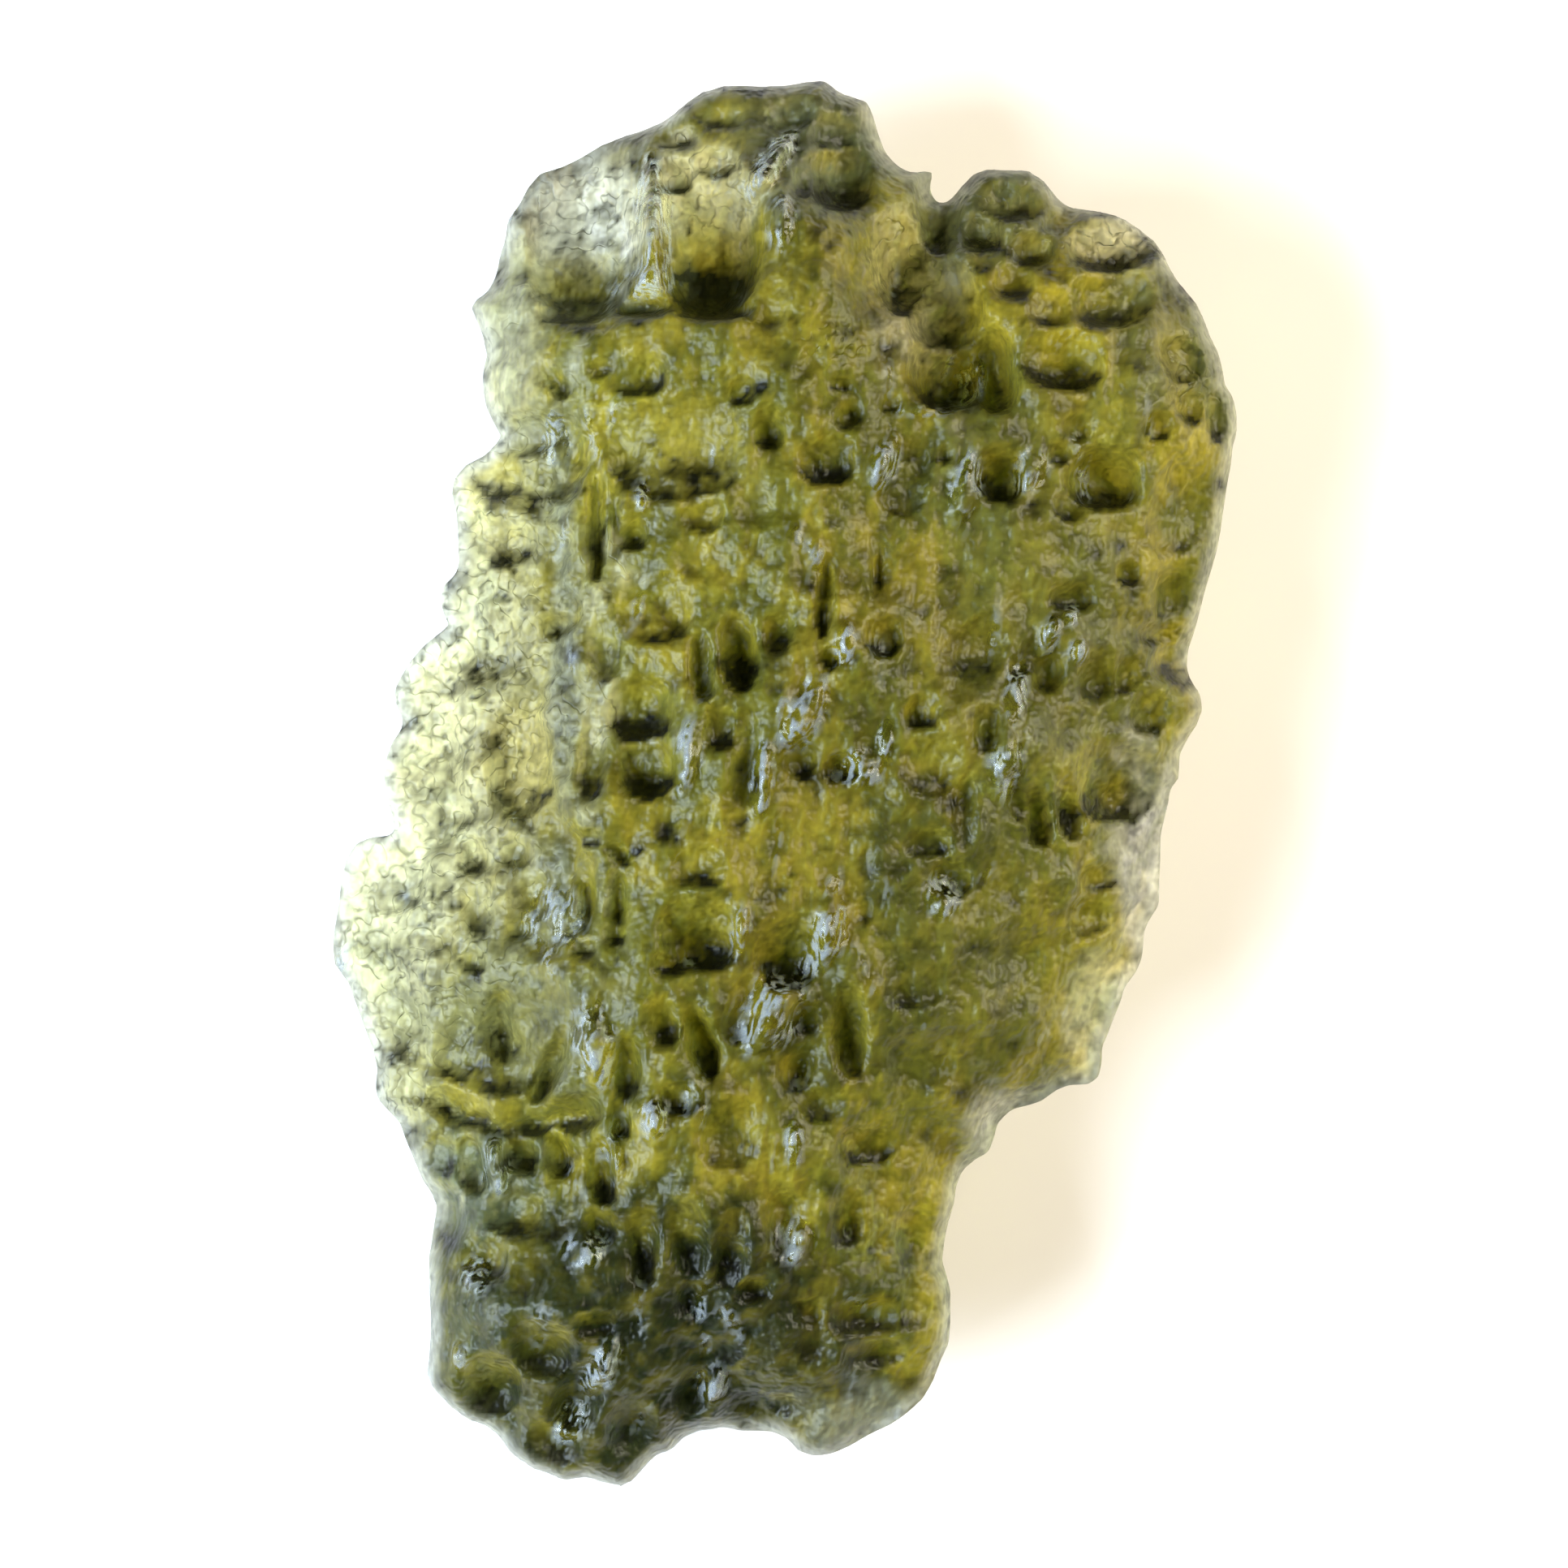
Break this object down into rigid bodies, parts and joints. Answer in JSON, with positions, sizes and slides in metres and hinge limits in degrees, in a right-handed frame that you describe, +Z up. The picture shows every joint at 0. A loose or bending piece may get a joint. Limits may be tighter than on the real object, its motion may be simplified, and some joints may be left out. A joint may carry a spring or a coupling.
{
  "type": "moldavite",
  "caption": "Flat, lobed piece of olive-green natural glass with a pitted, fluted skin, for display on a shelf or as a specimen.",
  "frame": {"origin": "on the resting plane, under the middle of the stone's box", "axes": "+Y along the stone's long axis towards its notched upper end, +Z up out of the broad face that is seen, +X to the right of that face"},
  "size_m": [0.0222, 0.0346, 0.0085],
  "materials": {
    "natural_green_glass": "naturally etched glass, satin with a few glossy ridges, see-through at the thin rim"
  },
  "bodies": {
    "root": {"moldavite": "natural_green_glass"}
  },
  "joints": []
}
